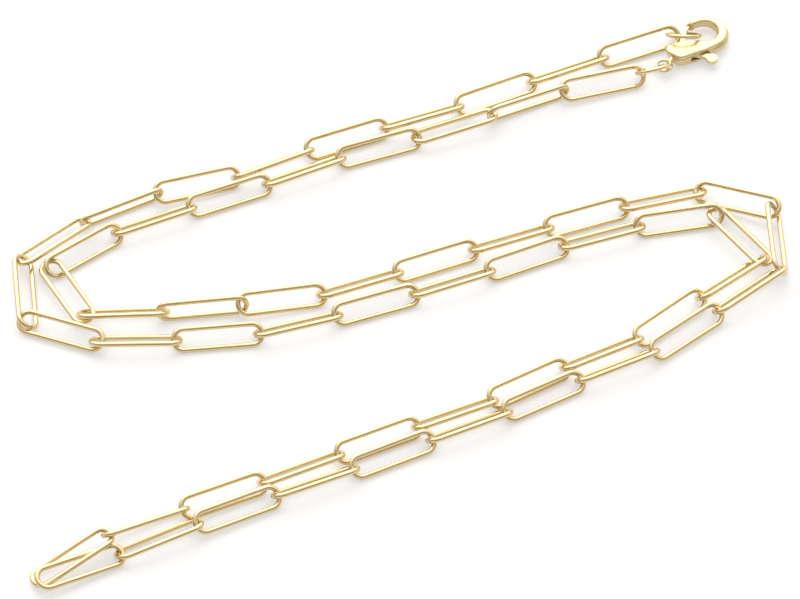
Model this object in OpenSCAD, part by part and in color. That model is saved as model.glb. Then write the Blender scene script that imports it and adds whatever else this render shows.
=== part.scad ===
// Necklace of long oval "paperclip" links with a lobster clasp, as it lies doubled up on a table.
// Sizes are millimetres and angles are degrees. The table is at z = 0 and +Z points up.
// Two strands of linked wire run from the clasp, side by side, to the fold where they are joined.
// Every link is placed by one row of a table: where it points, how far it leans, how high it ends.

/* [Links] */
// Length of a link between the wire centres at its two ends
link_length = 11.05; // [11.0:0.05:11.1]
// Width of a link between the wire centres of its two long sides
link_width = 2.6; // [2.55:0.05:2.65]
// Thickness of the link wire
link_wire = 0.58; // [0.5:0.02:0.58]

/* [Jump rings] */
// Outside diameter of the ring held in the hook
hook_ring_outer = 4.7; // [4.65:0.05:4.75]
// Outside diameter of the ring in the clasp's tail loop
tail_ring_outer = 4.9; // [4.85:0.05:4.95]
// Thickness of the jump ring wire
ring_wire = 0.5; // [0.45:0.05:0.5]

/* [Clasp] */
// Thickness of the clasp body from the table up
clasp_height = 2.0; // [1.9:0.1:2.1]
// Outside diameter of the clasp's hook
hook_outer = 5.9; // [5.8:0.05:5.95]
// Thickness of the hook from below
hook_height = 1.5; // [1.4:0.1:1.6]
// Diameter of the round opening inside the hook
hook_hole = 3.5; // [3.4:0.05:3.6]
// Outside diameter of the small round loop at the clasp's tail
tail_outer = 2.35; // [2.3:0.05:2.4]
// Thickness of the tail loop
tail_wire = 0.45; // [0.4:0.05:0.45]

/* [Lever] */
// Thickness of the spring lever
lever_height = 0.6; // [0.5:0.05:0.65]
// Free space above and below the lever in its slot
slot_play = 0.1; // [0.1:0.05:0.15]
// Diameter of the lever's pin
pin_diameter = 0.8; // [0.7:0.05:0.8]
// Free space all round the pin in the lever and in the body
pin_play = 0.04; // [0.03:0.01:0.05]

/* [Hidden] */
$fn = 48;

// Wire mesh of a link: flat sides round the wire, and bends at each half-round end.
wire_sides = 6;
end_bends = 6;

// How far a cutting shape reaches past the metal, so that it leaves no skin.
overshoot = 1;

// Each row places one link, counted from the clasp.
// Columns: step to the next joint, heading, lean about the link's long axis,
// height of the next joint, shift of the link to the left of its heading.
STEP = 0;
HEADING = 1;
LEAN = 2;
HEIGHT = 3;
ASIDE = 4;

// Strand a leaves the hook's ring: along the back, round the left bend, across the middle,
// round the right bend, and along the front to the fold.
start_a = [35.3, 43.8, 1.3];
rows_a = [
    [9.86, 203, -42, 1.2, 0],
    [10.25, 204, 38, 1.2, 0],
    [10.25, 205, -40, 1.2, 0],
    [10.25, 201, 38, 1.2, 0],
    [10.25, 202, -40, 1.2, 0],
    [10.25, 206, 44, 1.2, 0],
    [10.25, 198, -40, 1.6, 0],
    [10.25, 207, 72, 1.5, 0.1],
    [10.2, 221, 22, 1.6, 0],
    [9.7, 276, -38, 1.1, 0.2],
    [9.15, 340, 30, 1.2, 0.2],
    [10.15, 1, -32, 1.2, 0],
    [10.15, 6, 40, 1.2, 0],
    [10.15, 17, -36, 1.2, 0],
    [10.15, 20, 40, 1.2, 0],
    [10.15, 22, -35, 1.2, 0],
    [10.15, 24, 40, 1.2, 0],
    [10.15, 19, -30, 1.2, 0],
    [10.0, 10, 46, 1.4, 0],
    [8.95, 307, -14, 1.3, 0],
    [10.28, 219, 44, 1.4, 0],
    [10.28, 220, -40, 1.2, 0],
    [10.28, 207, 38, 1.2, -0.1],
    [10.28, 210, -38, 1.2, -0.1],
    [10.28, 204, 36, 1.2, 0],
    [10.28, 205, -40, 1.2, 0],
    [10.28, 205, 36, 1.2, 0],
    [10.28, 205, -38, 1.4, 0],
    [10.28, 206, 50, 2.1, 0],
    [10.0, 215, 4, 0.6, 0]
];

// Strand b leaves the ring at the clasp's tail and keeps inside strand a all the way.
start_b = [30.9, 36.85, 1.2];
rows_b = [
    [10.35, 197, -38, 1.5, 0],
    [10.24, 205, 80, 1.8, 0],
    [10.24, 200, 16, 1.2, 0],
    [10.24, 200, -42, 1.2, 0],
    [10.24, 205, 38, 1.2, 0],
    [10.24, 203, -42, 1.2, 0],
    [10.24, 204, 36, 1.2, 0],
    [9.95, 217, -40, 1.2, 0],
    [8.7, 300, 8, 1.3, 0],
    [9.8, 1, -36, 1.6, 0],
    [9.8, 6, 86, 1.75, 0],
    [10.15, 12, 40, 1.2, 0],
    [10.15, 21, -34, 1.2, 0],
    [10.15, 22, 40, 1.2, 0],
    [10.15, 21, -34, 1.2, 0],
    [10.15, 20, 40, 1.2, 0],
    [10.15, 15, -28, 1.2, 0],
    [9.7, 339, 34, 2.0, -0.1],
    [10.3, 273, -54, 2.0, -0.2],
    [10.32, 218, 44, 1.4, -0.1],
    [10.32, 219, -40, 1.3, 0],
    [10.32, 206, 44, 1.2, -0.1],
    [10.32, 209, -38, 1.2, -0.1],
    [10.32, 205, 42, 1.2, 0],
    [10.32, 206, -38, 1.2, 0],
    [10.32, 204, 42, 1.3, 0],
    [10.32, 206, -36, 1.5, 0],
    [10.32, 205, 30, 0.9, -0.1],
    [10.1, 206, -18, 1.5, -0.3]
];

// The clasp lies flat. Its own x runs from the tail loop to the hook.
clasp_place = [34.0, 38.8];
clasp_heading = 45.6;
edge_inset = 0.45;
hook_centre = [7.55, -0.3];
hook_bevel = 0.45;
hole_centre = [7.6, 0.05];
hole_bevel = 0.25;
tail_centre = [-0.1, 0];
pivot = [3.7, -0.8];
hub_radius = 0.9;
lever_floor = 0.8;
slot_height = lever_height + 2 * slot_play;
socket_depth = 0.3;
socket_floor = lever_floor - slot_play - socket_depth;

// The swelling body: x, y, radius and thickness of the discs that it is stretched over.
// It is thinner at the tail than over the pin, and as thin as the hook where the hook begins.
tail_end_height = 1.8;
body_discs = [
    [2.55, -0.45, 1.15, tail_end_height],
    [2.75, 0.75, 1.0, tail_end_height],
    [4.1, -0.75, 1.5, clasp_height],
    [5.6, -1.7, 1.2, hook_height]
];

// Mouth of the hook, between the hook's tip and the body, which the lever closes.
mouth_outline = [
    [7.75, 1.4],
    [7.5, 1.8],
    [7.0, 2.4],
    [6.4, 3.2],
    [3.7, 3.2],
    [3.5, 1.6],
    [5.8, -0.6],
    [6.6, -0.6]
];

// Slot that the lever swings in, open to the mouth and to the thumb's side.
slot_outline = [
    [2.6, 2.4],
    [2.6, -0.8],
    [3.0, -1.7],
    [3.6, -3.6],
    [5.8, -3.6],
    [5.1, -1.9],
    [4.9, -1.4],
    [5.6, -1.0],
    [6.2, -0.6],
    [6.2, 2.4]
];

// Finger of the lever, from the hub to the tip that meets the hook.
finger_outline = [
    [2.9, -0.4],
    [3.1, 0.5],
    [4.2, 1.2],
    [5.0, 1.65],
    [5.8, 2.2],
    [6.4, 2.42],
    [6.95, 2.25],
    [7.0, 2.05],
    [6.3, 1.8],
    [5.9, 1.6],
    [5.2, 1.05],
    [4.6, 0.6],
    [4.5, -0.6]
];

// Arm of the lever, from the hub out to the thumb nub.
arm_outline = [
    [3.4, -1.3],
    [4.3, -2.6],
    [4.5, -3.6],
    [5.3, -3.5],
    [5.25, -2.8],
    [4.55, -1.1]
];
nub_centre = [5.0, -3.7];
nub_radius = 0.75;

// The hook's ring goes round the closed lever and through strand a; the other through the tail loop.
// Each leans on the table, and its plane holds a level direction and a steep one.
hook_ring_centre = [36.55, 43.4, 1.69];
hook_ring_level = [1.0, -0.05, 0];
hook_ring_steep = [0, 0.74, -0.67];
tail_ring_centre = [32.5, 37.3, 1.85];
tail_ring_level = [0.94, 0.34, 0];
tail_ring_steep = [0, 0.7, -0.7];

// Joints of a strand, one more than its links.
function joints(start, rows) = [
    for (i = 0, p = start; i <= len(rows); p = i < len(rows) ? next_joint(p, rows[i]) : p, i = i + 1) p
];
function next_joint(p, row) =
    let (rise = row[HEIGHT] - p[2])
    let (run = sqrt(row[STEP] * row[STEP] - rise * rise))
    [p[0] + run * cos(row[HEADING]), p[1] + run * sin(row[HEADING]), row[HEIGHT]];
function link_centre(p, q, row) =
    (p + q) / 2 + row[ASIDE] * [-sin(row[HEADING]), cos(row[HEADING]), 0];
function link_climb(p, q, row) = asin((q[2] - p[2]) / row[STEP]);

// Directions of a placed link: along it, across it, and out of its flat face.
function along(h, c) = [cos(h) * cos(c), sin(h) * cos(c), sin(c)];
function level_left(h) = [-sin(h), cos(h), 0];
function upright(h, c) = [-cos(h) * sin(c), -sin(h) * sin(c), cos(c)];
function across(h, c, lean) = cos(lean) * level_left(h) + sin(lean) * upright(h, c);
function face_out(h, c, lean) = cos(lean) * upright(h, c) - sin(lean) * level_left(h);

// Points of one link: rings of wire_sides points, one ring for each bend of the two round ends.
function bend_angle(i) =
    i <= end_bends ? -90 + i * 180 / end_bends : 90 + (i - end_bends - 1) * 180 / end_bends;
function bend_side(i) = i <= end_bends ? 1 : -1;
function link_points(centre, climb, row) =
    let (ex = along(row[HEADING], climb))
    let (ey = across(row[HEADING], climb, row[LEAN]))
    let (ez = face_out(row[HEADING], climb, row[LEAN]))
    let (straight = (link_length - link_width) / 2)
    [
        for (i = [0 : 2 * end_bends + 1])
            let (outward = cos(bend_angle(i)) * ex + sin(bend_angle(i)) * ey)
            let (middle = centre + bend_side(i) * straight * ex + link_width / 2 * outward)
            for (s = [0 : wire_sides - 1])
                let (turn = (s + 0.5) * 360 / wire_sides)
                middle + link_wire / 2 * (cos(turn) * outward + sin(turn) * ez)
    ];
function strand_points(start, rows) =
    let (p = joints(start, rows))
    [
        for (i = [0 : len(rows) - 1])
            link_points(link_centre(p[i], p[i + 1], rows[i]), link_climb(p[i], p[i + 1], rows[i]), rows[i])
    ];

points_a = strand_points(start_a, rows_a);
points_b = strand_points(start_b, rows_b);

// The part's origin is the middle of the foot of its box, found from the links and the hook.
function every(axis) = [for (strand = [points_a, points_b]) for (link = strand) for (p = link) p[axis]];
hook_world = [
    clasp_place[0] + hook_centre[0] * cos(clasp_heading) - hook_centre[1] * sin(clasp_heading),
    clasp_place[1] + hook_centre[0] * sin(clasp_heading) + hook_centre[1] * cos(clasp_heading)
];
left_end = min(every(0));
right_end = max(every(0));
front_end = min(every(1));
back_end = max(max(every(1)), hook_world[1] + hook_outer / 2);
foot = min(min(every(2)), 0);
origin_shift = -[(left_end + right_end) / 2, (front_end + back_end) / 2, foot];

ring_count = 2 * (end_bends + 1);
link_faces = [
    for (i = [0 : ring_count - 1])
        for (s = [0 : wire_sides - 1])
            let (n = (i + 1) % ring_count)
            let (t = (s + 1) % wire_sides)
            [i * wire_sides + s, n * wire_sides + s, n * wire_sides + t, i * wire_sides + t]
];

module strand(links) {
    for (points = links)
        polyhedron(points, link_faces, convexity = 4);
}

module strand_a() {
    color("gold")
        translate(origin_shift)
            strand(points_a);
}

module strand_b() {
    color("gold")
        translate(origin_shift)
            strand(points_b);
}

// A jump ring whose plane holds the two given directions.
module jump_ring(outer, centre, level, steep) {
    u = level / norm(level);
    w = cross(u, steep) / norm(cross(u, steep));
    tilt = acos(w[2]);
    turn = atan2(w[1], w[0]);
    translate(origin_shift + centre)
        rotate([0, tilt, turn])
            rotate_extrude()
                translate([(outer - ring_wire) / 2, 0])
                    circle(d = ring_wire, $fn = 24);
}

module hook_ring() {
    color("gold")
        jump_ring(hook_ring_outer, hook_ring_centre, hook_ring_level, hook_ring_steep);
}

module tail_ring() {
    color("gold")
        jump_ring(tail_ring_outer, tail_ring_centre, tail_ring_level, tail_ring_steep);
}

module on_clasp() {
    translate(origin_shift + [clasp_place[0], clasp_place[1], 0])
        rotate([0, 0, clasp_heading])
            children();
}

// Disc half-way up the clasp, with its edges drawn in, so that the clasp looks cast and tumbled.
module soft_disc(x, y, radius, thickness) {
    translate([x, y, (clasp_height - thickness) / 2 + edge_inset])
        cylinder(h = thickness - 2 * edge_inset, r = radius);
    translate([x, y, (clasp_height - thickness) / 2])
        cylinder(h = thickness, r = radius - edge_inset);
}

module swollen_body() {
    hull()
        for (disc = body_discs)
            soft_disc(disc[0], disc[1], disc[2], disc[3]);
}

// Blank of the hook, half-way up the clasp: a disc with its outer edges bevelled.
module hook_disc() {
    r = hook_outer / 2;
    translate([hook_centre[0], hook_centre[1], (clasp_height - hook_height) / 2])
        rotate_extrude()
            polygon([
                [0, 0],
                [r - hook_bevel, 0],
                [r, hook_bevel],
                [r, hook_height - hook_bevel],
                [r - hook_bevel, hook_height],
                [0, hook_height]
            ]);
}

// Round opening of the hook, a little wider at its top and bottom.
module hook_opening() {
    r = hook_hole / 2;
    rim = r + hole_bevel;
    low = (clasp_height - hook_height) / 2;
    high = low + hook_height;
    translate([hole_centre[0], hole_centre[1], 0])
        rotate_extrude()
            polygon([
                [0, -overshoot],
                [rim, -overshoot],
                [rim, low],
                [r, low + hole_bevel],
                [r, high - hole_bevel],
                [rim, high],
                [rim, clasp_height + overshoot],
                [0, clasp_height + overshoot]
            ]);
}

// Round loop at the tail, with a short neck that joins it to the body.
module tail_loop() {
    neck_start = 0.85;
    neck_length = 1.2;
    neck_side = 0.6;
    translate([tail_centre[0], tail_centre[1], clasp_height / 2])
        rotate_extrude()
            translate([(tail_outer - tail_wire) / 2, 0])
                circle(d = tail_wire, $fn = 24);
    translate([neck_start, -neck_side / 2, (clasp_height - neck_side) / 2])
        cube([neck_length, neck_side, neck_side]);
}

module clasp_cuts() {
    hook_opening();
    translate([0, 0, -overshoot])
        linear_extrude(clasp_height + 2 * overshoot)
            polygon(mouth_outline);
    translate([0, 0, lever_floor - slot_play])
        linear_extrude(slot_height)
            polygon(slot_outline);
    translate([pivot[0], pivot[1], socket_floor])
        cylinder(h = slot_height + 2 * socket_depth, d = pin_diameter + 2 * pin_play);
}

module clasp_body() {
    color("gold")
        on_clasp()
            difference() {
                union() {
                    swollen_body();
                    hook_disc();
                    tail_loop();
                }
                clasp_cuts();
            }
}

module clasp_lever() {
    color("gold")
        on_clasp()
            translate([0, 0, lever_floor])
                difference() {
                    union() {
                        linear_extrude(lever_height)
                            polygon(finger_outline);
                        linear_extrude(lever_height)
                            polygon(arm_outline);
                        translate([pivot[0], pivot[1], 0])
                            cylinder(h = lever_height, r = hub_radius);
                        translate([nub_centre[0], nub_centre[1], 0])
                            cylinder(h = lever_height, r = nub_radius);
                    }
                    translate([pivot[0], pivot[1], -overshoot])
                        cylinder(h = lever_height + 2 * overshoot, d = pin_diameter + 2 * pin_play);
                }
}

// The pin sits blind in both cheeks of the body, with a little free space at each end.
module lever_pin() {
    end_gap = 0.05;
    color("gold")
        on_clasp()
            translate([pivot[0], pivot[1], socket_floor + end_gap])
                cylinder(h = slot_height + 2 * socket_depth - 2 * end_gap, d = pin_diameter);
}

strand_a();
strand_b();
hook_ring();
tail_ring();
clasp_body();
clasp_lever();
lever_pin();
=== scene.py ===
"""Paperclip-chain necklace with a lobster clasp, doubled up on a pale table.

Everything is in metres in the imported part's frame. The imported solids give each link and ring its
place, and the pieces made here stand for them: smooth wire links and jump rings, and a clasp
whose casting has softened edges. The camera looks down on the table from the front.
"""

import math

import bmesh
import bpy
import numpy as np
from mathutils import Matrix, Vector


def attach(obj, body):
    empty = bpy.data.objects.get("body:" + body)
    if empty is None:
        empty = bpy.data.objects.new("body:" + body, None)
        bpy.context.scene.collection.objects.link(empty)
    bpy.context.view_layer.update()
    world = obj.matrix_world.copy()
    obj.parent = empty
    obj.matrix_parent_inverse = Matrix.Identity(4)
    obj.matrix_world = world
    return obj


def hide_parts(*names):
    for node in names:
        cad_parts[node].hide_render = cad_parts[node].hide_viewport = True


MM = 0.001

# The photograph's view: a long lens, looking down on the table. Angles are in degrees, the lens
# and its sensor in Blender's own millimetres, and nothing nearer than CAMERA_NEAR is drawn.
CAMERA_ELEVATION = 49.44
CAMERA_DISTANCE = 735.4 * MM
CAMERA_LENS = 266.0
CAMERA_SENSOR = 36.0
CAMERA_NEAR = 10 * MM
LOOK_AT = Vector((0.003 * MM, -0.251 * MM, 0.026 * MM))

# A link along the middle of its wire, and the thickness of the links' and rings' wires.
LINK_LENGTH = 11.05 * MM
LINK_WIDTH = 2.6 * MM
LINK_WIRE = 0.67 * MM
RING_WIRE = 0.52 * MM

# Points in a quarter bend of a wire, and round its section.
LINK_BENDS = 10
LINK_SIDES = 16
RING_BENDS = 14
RING_SIDES = 20

# Points nearer than this are one point: in a wire where two bends meet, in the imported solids
# where they are told apart, and in the casting before it is remeshed.
SAME_WIRE_POINT = 0.005 * MM
SAME_CORNER = 0.001 * MM
SAME_CASTING_POINT = 0.0005 * MM

# Decimals of a metre to which the corners of a solid are rounded before its lie is worked out.
CORNER_DECIMALS = 7

# Where the clasp lies, and how far its tail-to-hook line is turned from the table's x.
CLASP_PLACE = Vector((33.989, 38.55, 0.026)) * MM
CLASP_HEADING = 45.6

# The casting's smooth upper face is stretched over discs: x, y, radius, underside and top in mm,
# in the clasp's own frame, whose x runs from the tail to the hook. The cheek's discs cover the
# lever, and the neck's lead from there to the hook and to the tail loop.
CHEEK_DISCS = (
    (2.35, 0.65, 0.95, 1.56, 1.98),
    (2.55, -0.5, 1.0, 1.56, 2.0),
    (4.2, -0.95, 1.0, 1.56, 2.04),
    (5.3, -1.7, 0.9, 1.56, 2.0),
)
NECK_DISC = (6.4, -2.2, 0.65, 1.5, 1.9)
TAIL_NECK_DISCS = (
    (1.25, 0.0, 0.3, 0.68, 1.32),
    (2.1, 0.0, 0.5, 0.5, 1.6),
)

# The hook's discs stand on its round middle line every 15 degrees, from the neck to the tip: the
# line's middle and radius, its degrees, and each disc's radius, underside and top.
HOOK_MIDDLE = (7.57, -0.12)
HOOK_TURN = 2.36
HOOK_ARC = range(-85, 81, 15)
HOOK_DISC = (0.52, 1.3, 1.78)

# Corners round each disc, and how far its upper rim is drawn in and let down, in mm.
DISC_CORNERS = 32
RIM_INSET = 0.2
RIM_DROP = 0.15

# The swell of the casting over the lever: its middle and half its sizes in mm, its turn, and how
# many faces go round it.
SWELL_MIDDLE = (3.64, -0.65, 1.66)
SWELL_REACH = (2.4, 1.2, 0.5)
SWELL_HEADING = -40.2
SWELL_FACES = 48

# How fine the casting's mesh is, and how much its edges are worn: the body more than the lever.
CASTING_VOXEL = 0.05 * MM
WEAR = 0.5
BODY_WEAR_ROUNDS = 14
LEVER_WEAR_ROUNDS = 6

# The plate on the drawn wire, and on the casting.
WIRE_PLATE = {
    "shade": (0.71, 0.56, 0.30),
    "dullness": 0.08,
    "ripple_size": 0.6 * MM,
    "ripple_depth": 0.007 * MM,
}
CASTING_PLATE = {
    "shade": (0.67, 0.55, 0.30),
    "dullness": 0.31,
    "ripple_size": 1.2 * MM,
    "ripple_depth": 0.02 * MM,
}

# What both plates have: broad paler patches, and small duller spots.
PATCH_SIZE = 6 * MM
PATCH_PALER = 0.06
PATCH_CONTRAST = 1.6
PATCH_LEVEL = 0.3
SPOT_SIZE = 0.9 * MM
SPOT_DULLNESS = 0.14

# The table: half its side, its two greys, its surface, its grain, and its light from below.
TABLE_HALF = 1.5
TABLE_GREYS = ((0.41, 0.41, 0.415), (0.43, 0.43, 0.435))
TABLE_DULLNESS = 0.6
TABLE_GLOSS = 0.2
GRAIN_SIZE = 0.5 * MM
GRAIN_DEPTH = 0.01 * MM
GRAIN_STRENGTH = 0.3
GLOW_COLOUR = (1.0, 0.985, 0.97, 1.0)
GLOW_STRENGTH = 0.47

# The tent's light: its colour, its strength all round, what is added towards the upper back, and
# how much of that direction is up and how much is back.
TENT_COLOUR = (1.0, 0.975, 0.95, 1.0)
ALL_ROUND = 0.38
UPPER_BACK = 1.4
UPWARD = 0.75
BACKWARD = 0.66

# The softbox behind the table, slightly to the left.
SOFTBOX_PLACE = (-0.13, 0.60, 0.66)
SOFTBOX_SIZE = 1.1
SOFTBOX_POWER = 5.6
SOFTBOX_COLOUR = (1.0, 0.985, 0.96)

# A Mix node's sockets for colours, which share their names with those for numbers.
MIX_FIRST = 6
MIX_SECOND = 7
MIX_RESULT = 2


class NodeTree:
    """A node tree under construction."""

    def __init__(self, tree):
        self.tree = tree

    def join(self, node, name, value):
        """Links a socket of a node, or sets its value."""
        if isinstance(value, Shade):
            value = value.socket
        if isinstance(value, bpy.types.NodeSocket):
            self.tree.links.new(value, node.inputs[name])
        else:
            node.inputs[name].default_value = value

    def node(self, kind, settings=None, sockets=None):
        """Adds a node: its settings first, then the values or links of its sockets."""
        node = self.tree.nodes.new(kind)
        for name, value in (settings or {}).items():
            setattr(node, name, value)
        for name, value in (sockets or {}).items():
            self.join(node, name, value)
        return node


class Shade:
    """Wraps a socket of a shader's tree, so that an expression on it adds its Math nodes."""

    def __init__(self, tree, socket):
        self.tree = tree
        self.socket = socket

    def maths(self, operation, first, second):
        """What a Math node makes of two values."""
        node = self.tree.node("ShaderNodeMath", {"operation": operation}, {0: first, 1: second})
        return Shade(self.tree, node.outputs[0])

    def __add__(self, other):
        return self.maths("ADD", self, other)

    __radd__ = __add__

    def __sub__(self, other):
        return self.maths("SUBTRACT", self, other)

    def __rsub__(self, other):
        return self.maths("SUBTRACT", other, self)

    def __mul__(self, other):
        return self.maths("MULTIPLY", self, other)

    __rmul__ = __mul__

    def at_least(self, floor):
        """The value, or floor where the value is lower."""
        return self.maths("MAXIMUM", self, floor)

    def clamped(self):
        """The value kept between 0 and 1."""
        return self.maths("MINIMUM", self.at_least(0.0), 1.0)


class Finish(NodeTree):
    """A material under construction."""

    def __init__(self, name):
        self.material = bpy.data.materials.new(name)
        self.material.use_nodes = True
        super().__init__(self.material.node_tree)
        self.shader = self.tree.nodes["Principled BSDF"]
        self.place = self.node("ShaderNodeTexCoord").outputs["Object"]

    def noise(self, size, detail=2.0, roughness=0.5):
        """Noise from 0 to 1 whose lumps are about size across, in metres."""
        sockets = {
            "Vector": self.place,
            "Scale": 1.0 / size,
            "Detail": detail,
            "Roughness": roughness,
        }
        return Shade(self, self.node("ShaderNodeTexNoise", sockets=sockets).outputs["Fac"])

    def mixed(self, amount, first, second):
        """A colour between two colours."""
        sockets = {"Factor": amount, MIX_FIRST: (*first, 1.0), MIX_SECOND: (*second, 1.0)}
        return self.node("ShaderNodeMix", {"data_type": "RGBA"}, sockets).outputs[MIX_RESULT]

    def feed(self, name, value):
        """Sets or links one socket of the shader."""
        self.join(self.shader, name, value)

    def bump(self, height, depth, strength=1.0):
        """Raises the surface by height, whose full step is depth in metres."""
        sockets = {"Height": height, "Distance": depth, "Strength": strength}
        self.feed("Normal", self.node("ShaderNodeBump", sockets=sockets).outputs["Normal"])


def plated_gold(name, shade, dullness, ripple_size, ripple_depth):
    """Pale gold plate with a polish, faint tool ripples, paler patches and a few dull spots."""
    finish = Finish(name)
    patches = finish.noise(PATCH_SIZE)
    spots = finish.noise(SPOT_SIZE, detail=4.0, roughness=0.6)
    paler = tuple(PATCH_PALER + part for part in shade)
    amount = (PATCH_CONTRAST * patches - PATCH_LEVEL).clamped()
    finish.feed("Base Color", finish.mixed(amount, shade, paler))
    finish.feed("Metallic", 1.0)
    finish.feed("Roughness", dullness + SPOT_DULLNESS * spots)
    finish.bump(finish.noise(ripple_size, detail=3.0), ripple_depth)
    return finish.material


def acrylic_table():
    """Pale acrylic sheet that the necklace lies on, faintly lit from below."""
    finish = Finish("lit_acrylic")
    grain = finish.noise(GRAIN_SIZE, detail=4.0)
    finish.feed("Base Color", finish.mixed(grain, *TABLE_GREYS))
    finish.feed("Roughness", TABLE_DULLNESS)
    finish.feed("Specular IOR Level", TABLE_GLOSS)
    finish.feed("Emission Color", GLOW_COLOUR)
    finish.feed("Emission Strength", GLOW_STRENGTH)
    finish.bump(grain, GRAIN_DEPTH, GRAIN_STRENGTH)
    return finish.material


def plate(piece, finish):
    """Gives the piece the finish as its only material."""
    piece.data.materials.clear()
    piece.data.materials.append(finish)


def loose_solids(node):
    """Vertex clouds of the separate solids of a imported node, in the order they are met."""
    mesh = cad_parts[node].data
    corners = np.empty(len(mesh.vertices) * 3)
    mesh.vertices.foreach_get("co", corners)
    corners = corners.reshape(-1, 3)
    rounded = np.round(corners / SAME_CORNER).astype(np.int64)
    _, group = np.unique(rounded, axis=0, return_inverse=True)
    group = group.reshape(-1)
    leader = np.arange(group.max() + 1)

    def find(item):
        """The first of the corners that are joined to this one so far."""
        while leader[item] != item:
            leader[item] = leader[leader[item]]
            item = leader[item]
        return item

    for edge in mesh.edges:
        first, second = (find(group[v]) for v in edge.vertices)
        leader[max(first, second)] = min(first, second)
    roots = np.array([find(item) for item in range(len(leader))])[group]
    return [corners[roots == root] for root in np.unique(roots)]


def lie_of(cloud):
    """Centre and turn of a flat solid: x along its length, y across it, z out of its plane."""
    corners = np.unique(np.round(cloud, CORNER_DECIMALS), axis=0)
    centre = corners.mean(0)
    along, across, _ = np.linalg.svd(corners - centre)[2]
    out = np.cross(along, across)
    if out[2] < 0:
        across, out = -across, -out
    return Vector(centre), Matrix((along, across, out)).transposed().to_euler()


class GrowTree(NodeTree):
    """A Geometry Nodes tree under construction."""

    def __init__(self, name):
        super().__init__(bpy.data.node_groups.new(name, "GeometryNodeTree"))
        for way in ("INPUT", "OUTPUT"):
            self.add_socket("Geometry", way, "NodeSocketGeometry")
        self.way_in = self.node("NodeGroupInput")
        self.way_out = self.node("NodeGroupOutput")
        self.given = {}

    def add_socket(self, name, way, kind):
        """Adds an input or an output of the tree."""
        return self.tree.interface.new_socket(name, in_out=way, socket_type=kind)

    def size(self, name, value):
        """Adds a named length as an input of the tree."""
        socket = self.add_socket(name, "INPUT", "NodeSocketFloat")
        self.given[socket.identifier] = value
        return self.way_in.outputs[name]

    def step(self, kind, settings=None, **sockets):
        """Adds a node whose sockets are given by name, and gives back its first output."""
        named = {name.replace("_", " "): value for name, value in sockets.items()}
        return self.node(kind, settings, named).outputs[0]


def wire_loop_tree(name, finish, length, width, wire, bends, sides):
    """A tree that lays one closed wire loop with round ends on each point that it is given."""
    grow = GrowTree(name)
    outline = grow.step(
        "GeometryNodeCurvePrimitiveQuadrilateral",
        {"mode": "RECTANGLE"},
        Width=grow.size("Length", length),
        Height=grow.size("Width", width),
    )
    rounded = grow.step(
        "GeometryNodeFilletCurve",
        {"mode": "POLY"},
        Curve=outline,
        Radius=grow.size("Bend radius", width / 2),
        Count=bends,
        Limit_Radius=True,
    )
    section = grow.step(
        "GeometryNodeCurvePrimitiveCircle",
        {"mode": "RADIUS"},
        Resolution=sides,
        Radius=grow.size("Wire radius", wire / 2),
    )
    swept = grow.step("GeometryNodeCurveToMesh", Curve=rounded, Profile_Curve=section)
    joined = grow.step("GeometryNodeMergeByDistance", Geometry=swept, Distance=SAME_WIRE_POINT)
    smooth = grow.step("GeometryNodeSetShadeSmooth", Geometry=joined)
    turn = grow.step("GeometryNodeInputNamedAttribute", {"data_type": "FLOAT_VECTOR"}, Name="turn")
    laid = grow.step(
        "GeometryNodeInstanceOnPoints",
        Points=grow.way_in.outputs[0],
        Instance=smooth,
        Rotation=turn,
    )
    real = grow.step("GeometryNodeRealizeInstances", Geometry=laid)
    coated = grow.step("GeometryNodeSetMaterial", Geometry=real, Material=finish)
    grow.join(grow.way_out, 0, coated)
    return grow


def wire_loops(name, clouds, grow):
    """One mesh with a wire loop in the place of each solid."""
    lies = [lie_of(cloud) for cloud in clouds]
    points = bpy.data.meshes.new(name + "_points")
    points.from_pydata([place for place, _ in lies], [], [])
    turns = points.attributes.new("turn", "FLOAT_VECTOR", "POINT")
    turns.data.foreach_set("vector", [angle for _, turn in lies for angle in turn])
    holder = bpy.data.objects.new(name + "_points", points)
    bpy.context.scene.collection.objects.link(holder)
    modifier = holder.modifiers.new("loops", "NODES")
    modifier.node_group = grow.tree
    for identifier, value in grow.given.items():
        modifier[identifier] = value
    seen = holder.evaluated_get(bpy.context.evaluated_depsgraph_get())
    mesh = bpy.data.meshes.new_from_object(seen)
    bpy.data.objects.remove(holder)
    mesh.name = name
    piece = bpy.data.objects.new(name, mesh)
    bpy.context.scene.collection.objects.link(piece)
    return piece


def stand_in(piece, body, node):
    """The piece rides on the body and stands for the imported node."""
    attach(piece, body)
    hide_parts(node)


def lay_strands(finish):
    """The two strands of smooth links."""
    grow = wire_loop_tree(
        "paperclip_links", finish, LINK_LENGTH, LINK_WIDTH, LINK_WIRE, LINK_BENDS, LINK_SIDES
    )
    for node in ("strand_a", "strand_b"):
        piece = wire_loops(node + "_links", loose_solids(node), grow)
        stand_in(piece, "necklace", node)


def lay_rings(finish):
    """The two jump rings at the clasp."""
    for node in ("hook_ring", "tail_ring"):
        name = node + "_wire"
        cloud = loose_solids(node)[0]
        across = np.linalg.norm(cloud - cloud.mean(0), axis=1).max() * 2 - RING_WIRE
        grow = wire_loop_tree(name, finish, across, across, RING_WIRE, RING_BENDS, RING_SIDES)
        piece = wire_loops(name, [cloud], grow)
        stand_in(piece, "necklace", node)


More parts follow.
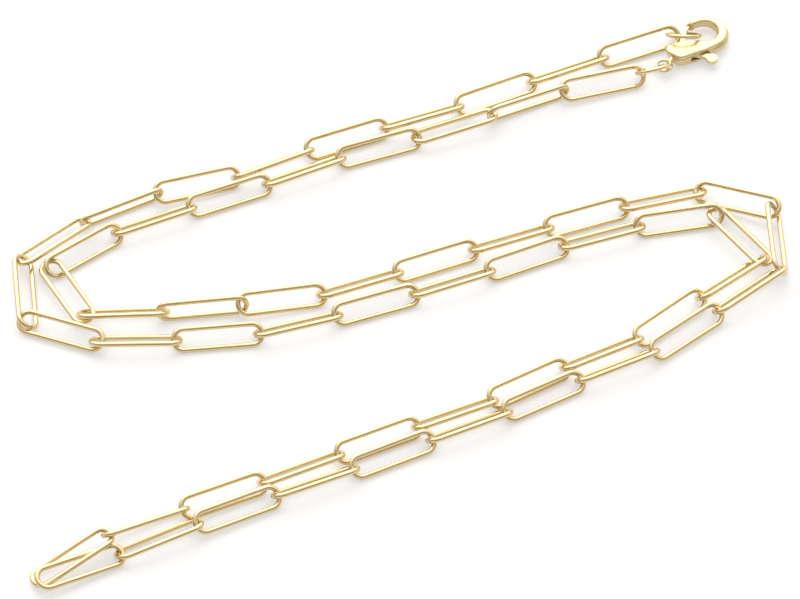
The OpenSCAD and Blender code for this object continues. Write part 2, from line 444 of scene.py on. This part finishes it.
def add_stretched(blank, discs):
    """Adds the closed shape stretched over a few discs, whose upper rims are drawn in."""
    corners = []
    for x, y, radius, underside, top in discs:
        rims = ((radius, underside), (radius, top - RIM_DROP), (radius - RIM_INSET, top))
        for step in range(DISC_CORNERS):
            turn = math.tau * step / DISC_CORNERS
            for reach, height in rims:
                corner = (x + reach * math.cos(turn), y + reach * math.sin(turn), height)
                corners.append(blank.verts.new(corner))
    made = bmesh.ops.convex_hull(blank, input=corners)
    bmesh.ops.delete(blank, geom=made["geom_interior"], context="VERTS")


def hook_discs():
    """Discs along the upper face from the cheek through the neck and round to the hook's tip."""
    chain = [CHEEK_DISCS[-1], NECK_DISC]
    for degrees in HOOK_ARC:
        angle = math.radians(degrees)
        x = HOOK_MIDDLE[0] + HOOK_TURN * math.cos(angle)
        y = HOOK_MIDDLE[1] + HOOK_TURN * math.sin(angle)
        chain.append((x, y, *HOOK_DISC))
    return chain


def add_swell(blank):
    """Adds the low dome of the casting over the lever."""
    lie = Matrix.LocRotScale(
        Vector(SWELL_MIDDLE),
        Matrix.Rotation(math.radians(SWELL_HEADING), 3, "Z"),
        Vector(SWELL_REACH),
    )
    bmesh.ops.create_uvsphere(
        blank, u_segments=SWELL_FACES, v_segments=SWELL_FACES // 2, radius=1.0, matrix=lie
    )


def upper_face():
    """The smooth upper face of the clasp's casting, as closed overlapping shapes."""
    blank = bmesh.new()
    add_stretched(blank, CHEEK_DISCS)
    add_stretched(blank, TAIL_NECK_DISCS)
    chain = hook_discs()
    for pair in zip(chain, chain[1:]):
        add_stretched(blank, pair)
    add_swell(blank)
    bmesh.ops.recalc_face_normals(blank, faces=blank.faces)
    mesh = bpy.data.meshes.new("upper_face")
    blank.to_mesh(mesh)
    blank.free()
    turn = Matrix.Rotation(math.radians(CLASP_HEADING), 4, "Z")
    mesh.transform(Matrix.Translation(CLASP_PLACE) @ turn @ Matrix.Scale(MM, 4))
    return mesh


def tumbled(name, meshes, rounds):
    """One piece of the meshes, with edges worn round, as a cast and tumbled piece has."""
    blank = bmesh.new()
    for part in meshes:
        blank.from_mesh(part)
    mesh = bpy.data.meshes.new(name)
    blank.to_mesh(mesh)
    blank.free()
    piece = bpy.data.objects.new(name, mesh)
    bpy.context.scene.collection.objects.link(piece)
    weld = piece.modifiers.new("weld", "WELD")
    weld.merge_threshold = SAME_CASTING_POINT
    skin = piece.modifiers.new("skin", "REMESH")
    skin.mode = "VOXEL"
    skin.voxel_size = CASTING_VOXEL
    soften = piece.modifiers.new("soften", "SMOOTH")
    soften.factor = WEAR
    soften.iterations = rounds
    seen = piece.evaluated_get(bpy.context.evaluated_depsgraph_get())
    finished = bpy.data.meshes.new_from_object(seen)
    piece.modifiers.clear()
    piece.data = finished
    finished.name = name
    finished.shade_smooth()
    return piece


def cast_clasp(finish):
    """The clasp's body and lever as soft castings, and its pin."""
    for node, body, added, rounds in (
        ("clasp_body", "necklace", [upper_face()], BODY_WEAR_ROUNDS),
        ("clasp_lever", "lever", [], LEVER_WEAR_ROUNDS),
    ):
        meshes = [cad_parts[node].data, *added]
        piece = tumbled(node + "_casting", meshes, rounds)
        plate(piece, finish)
        stand_in(piece, body, node)
    plate(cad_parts["lever_pin"], finish)


def table_top():
    """The pale table, wide enough to fill every view."""
    half = TABLE_HALF
    mesh = bpy.data.meshes.new("table_top")
    mesh.from_pydata(
        [(-half, -half, 0), (half, -half, 0), (half, half, 0), (-half, half, 0)],
        [],
        [(0, 1, 2, 3)],
    )
    mesh.materials.append(acrylic_table())
    top = bpy.data.objects.new("table_top", mesh)
    bpy.context.scene.collection.objects.link(top)


def white_tent():
    """Light from all round that is strongest at the upper back, and weak behind the camera."""
    world = bpy.data.worlds.new("white_tent")
    world.use_nodes = True
    tent = NodeTree(world.node_tree)
    direction = tent.node("ShaderNodeTexCoord").outputs["Generated"]
    parts = tent.node("ShaderNodeSeparateXYZ", sockets={"Vector": direction})
    height = Shade(tent, parts.outputs["Z"])
    back = Shade(tent, parts.outputs["Y"])
    toward_light = (UPWARD * height + BACKWARD * back).at_least(0.0)
    sky = tent.tree.nodes["Background"]
    tent.join(sky, "Color", TENT_COLOUR)
    tent.join(sky, "Strength", ALL_ROUND + UPPER_BACK * toward_light)
    bpy.context.scene.world = world


def back_softbox():
    """A large square light that faces the middle of the table."""
    data = bpy.data.lights.new("back_softbox", "AREA")
    data.size = SOFTBOX_SIZE
    data.energy = SOFTBOX_POWER
    data.color = SOFTBOX_COLOUR
    light = bpy.data.objects.new("back_softbox", data)
    light.location = SOFTBOX_PLACE
    light.rotation_euler = (-Vector(SOFTBOX_PLACE)).to_track_quat("-Z", "Y").to_euler()
    bpy.context.scene.collection.objects.link(light)


def studio():
    """The white tent and its softbox, shown in plain colours."""
    white_tent()
    back_softbox()
    bpy.context.scene.view_settings.view_transform = "Standard"


def camera():
    """The photograph's camera."""
    data = bpy.data.cameras.new("camera")
    data.sensor_width = CAMERA_SENSOR
    data.lens = CAMERA_LENS
    data.clip_start = CAMERA_NEAR
    eye = bpy.data.objects.new("camera", data)
    tilt = math.radians(CAMERA_ELEVATION)
    back = Vector((0.0, -math.cos(tilt), math.sin(tilt)))
    eye.location = LOOK_AT + CAMERA_DISTANCE * back
    eye.rotation_euler = (-back).to_track_quat("-Z", "Y").to_euler()
    bpy.context.scene.collection.objects.link(eye)
    bpy.context.scene.camera = eye


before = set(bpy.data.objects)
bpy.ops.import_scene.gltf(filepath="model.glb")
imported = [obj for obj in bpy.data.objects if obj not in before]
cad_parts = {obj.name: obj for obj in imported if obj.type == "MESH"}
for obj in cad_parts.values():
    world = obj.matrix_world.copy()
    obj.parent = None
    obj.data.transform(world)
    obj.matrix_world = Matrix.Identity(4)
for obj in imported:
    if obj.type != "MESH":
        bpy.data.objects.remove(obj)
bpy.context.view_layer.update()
camera()
studio()
table_top()
lay_strands(plated_gold("gold_wire", **WIRE_PLATE))
lay_rings(plated_gold("gold_ring_wire", **WIRE_PLATE))
cast_clasp(plated_gold("gold_casting", **CASTING_PLATE))
